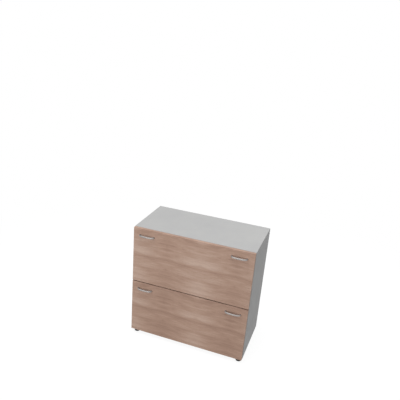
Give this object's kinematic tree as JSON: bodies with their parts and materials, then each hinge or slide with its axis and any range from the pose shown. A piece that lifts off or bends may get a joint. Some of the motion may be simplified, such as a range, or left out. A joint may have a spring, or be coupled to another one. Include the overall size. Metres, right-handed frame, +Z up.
{
  "type": "hanging file cabinet",
  "caption": "Wide hanging file cabinet of faced boards: full-width wood-look drawers with bow handles carry steel file frames on full-extension ball slides, above levelling feet.",
  "frame": {"origin": "on the floor, below the middle of the whole cabinet, handles included", "axes": "+Z up, front and handles towards -Y, +X to the right as seen from the front"},
  "size_m": [0.8, 0.445, 0.81],
  "materials": {
    "grey_board": "light grey melamine-faced particle board, fine pearl texture",
    "wood_front": "wood-look melamine, horizontal grain, satin",
    "satin_metal": "satin",
    "zinc_steel": "zinc-plated",
    "grey_steel": "grey powder coat",
    "bright_steel": "polished balls in a plain cage",
    "black_plastic": "moulded, matt"
  },
  "bodies": {
    "cabinet": {"back_panel": "grey_board", "bottom_panel": "grey_board", "front_left_foot_socket": "black_plastic", "front_right_foot_socket": "black_plastic", "left_side_panel": "grey_board", "lower_left_outer_slide": "zinc_steel", "lower_right_outer_slide": "zinc_steel", "rear_left_foot_socket": "black_plastic", "rear_right_foot_socket": "black_plastic", "right_side_panel": "grey_board", "top_panel": "grey_board", "upper_left_outer_slide": "zinc_steel", "upper_right_outer_slide": "zinc_steel"},
    "lower_drawer": {"lower_centre_file_rail": "grey_steel", "lower_drawer_front": "wood_front", "lower_front_cross_rail": "grey_steel", "lower_left_file_rail": "grey_steel", "lower_left_front_bracket": "grey_steel", "lower_left_handle": "satin_metal", "lower_left_inner_slide": "zinc_steel", "lower_rear_cross_rail": "grey_steel", "lower_right_file_rail": "grey_steel", "lower_right_front_bracket": "grey_steel", "lower_right_handle": "satin_metal", "lower_right_inner_slide": "zinc_steel"},
    "lower_middle_slides": {"lower_left_middle_slide": "zinc_steel", "lower_right_middle_slide": "zinc_steel"},
    "lower_outer_cages": {"lower_left_outer_cage": "bright_steel", "lower_right_outer_cage": "bright_steel"},
    "lower_inner_cages": {"lower_left_inner_cage": "bright_steel", "lower_right_inner_cage": "bright_steel"},
    "upper_drawer": {"upper_centre_file_rail": "grey_steel", "upper_drawer_front": "wood_front", "upper_front_cross_rail": "grey_steel", "upper_left_file_rail": "grey_steel", "upper_left_front_bracket": "grey_steel", "upper_left_handle": "satin_metal", "upper_left_inner_slide": "zinc_steel", "upper_rear_cross_rail": "grey_steel", "upper_right_file_rail": "grey_steel", "upper_right_front_bracket": "grey_steel", "upper_right_handle": "satin_metal", "upper_right_inner_slide": "zinc_steel"},
    "upper_middle_slides": {"upper_left_middle_slide": "zinc_steel", "upper_right_middle_slide": "zinc_steel"},
    "upper_outer_cages": {"upper_left_outer_cage": "bright_steel", "upper_right_outer_cage": "bright_steel"},
    "upper_inner_cages": {"upper_left_inner_cage": "bright_steel", "upper_right_inner_cage": "bright_steel"},
    "front_left_foot": {"front_left_foot_pad": "black_plastic"},
    "front_left_foot_screw": {"front_left_foot_stem": "zinc_steel"},
    "front_right_foot": {"front_right_foot_pad": "black_plastic"},
    "front_right_foot_screw": {"front_right_foot_stem": "zinc_steel"},
    "rear_left_foot": {"rear_left_foot_pad": "black_plastic"},
    "rear_left_foot_screw": {"rear_left_foot_stem": "zinc_steel"},
    "rear_right_foot": {"rear_right_foot_pad": "black_plastic"},
    "rear_right_foot_screw": {"rear_right_foot_stem": "zinc_steel"}
  },
  "joints": [
    {"name": "lower_drawer_slide", "type": "slide", "parent": "cabinet", "child": "lower_drawer", "axis": [0, -1, 0], "range_m": [0, 0.35]},
    {"name": "lower_middle_slides_slide", "type": "slide", "parent": "cabinet", "child": "lower_middle_slides", "axis": [0, -1, 0], "range_m": [0, 0.175]},
    {"name": "lower_outer_cages_slide", "type": "slide", "parent": "cabinet", "child": "lower_outer_cages", "axis": [0, -1, 0], "range_m": [0, 0.0875]},
    {"name": "lower_inner_cages_slide", "type": "slide", "parent": "cabinet", "child": "lower_inner_cages", "axis": [0, -1, 0], "range_m": [0, 0.2625]},
    {"name": "upper_drawer_slide", "type": "slide", "parent": "cabinet", "child": "upper_drawer", "axis": [0, -1, 0], "range_m": [0, 0.35]},
    {"name": "upper_middle_slides_slide", "type": "slide", "parent": "cabinet", "child": "upper_middle_slides", "axis": [0, -1, 0], "range_m": [0, 0.175]},
    {"name": "upper_outer_cages_slide", "type": "slide", "parent": "cabinet", "child": "upper_outer_cages", "axis": [0, -1, 0], "range_m": [0, 0.0875]},
    {"name": "upper_inner_cages_slide", "type": "slide", "parent": "cabinet", "child": "upper_inner_cages", "axis": [0, -1, 0], "range_m": [0, 0.2625]},
    {"name": "front_left_foot_lift", "type": "slide", "parent": "cabinet", "child": "front_left_foot", "axis": [0, 0, -1], "range_m": [0, 0.01]},
    {"name": "front_left_foot_turn", "type": "hinge", "parent": "front_left_foot", "child": "front_left_foot_screw", "pos_m": [-0.371, -0.157, 0.0053], "axis": [0, 0, -1], "range_deg": [0, 2880]},
    {"name": "front_right_foot_lift", "type": "slide", "parent": "cabinet", "child": "front_right_foot", "axis": [0, 0, -1], "range_m": [0, 0.01]},
    {"name": "front_right_foot_turn", "type": "hinge", "parent": "front_right_foot", "child": "front_right_foot_screw", "pos_m": [0.371, -0.157, 0.0053], "axis": [0, 0, -1], "range_deg": [0, 2880]},
    {"name": "rear_left_foot_lift", "type": "slide", "parent": "cabinet", "child": "rear_left_foot", "axis": [0, 0, -1], "range_m": [0, 0.01]},
    {"name": "rear_left_foot_turn", "type": "hinge", "parent": "rear_left_foot", "child": "rear_left_foot_screw", "pos_m": [-0.371, 0.1935, 0.0053], "axis": [0, 0, -1], "range_deg": [0, 2880]},
    {"name": "rear_right_foot_lift", "type": "slide", "parent": "cabinet", "child": "rear_right_foot", "axis": [0, 0, -1], "range_m": [0, 0.01]},
    {"name": "rear_right_foot_turn", "type": "hinge", "parent": "rear_right_foot", "child": "rear_right_foot_screw", "pos_m": [0.371, 0.1935, 0.0053], "axis": [0, 0, -1], "range_deg": [0, 2880]}
  ],
  "couplings": [
    {"joint": "lower_middle_slides_slide", "follows": "lower_drawer_slide", "ratio": 0.5},
    {"joint": "lower_outer_cages_slide", "follows": "lower_drawer_slide", "ratio": 0.25},
    {"joint": "lower_inner_cages_slide", "follows": "lower_drawer_slide", "ratio": 0.75},
    {"joint": "upper_middle_slides_slide", "follows": "upper_drawer_slide", "ratio": 0.5},
    {"joint": "upper_outer_cages_slide", "follows": "upper_drawer_slide", "ratio": 0.25},
    {"joint": "upper_inner_cages_slide", "follows": "upper_drawer_slide", "ratio": 0.75},
    {"joint": "front_left_foot_turn", "follows": "front_left_foot_lift", "rad_per_m": 5026.5},
    {"joint": "front_right_foot_turn", "follows": "front_right_foot_lift", "rad_per_m": 5026.5},
    {"joint": "rear_left_foot_turn", "follows": "rear_left_foot_lift", "rad_per_m": 5026.5},
    {"joint": "rear_right_foot_turn", "follows": "rear_right_foot_lift", "rad_per_m": 5026.5}
  ]
}
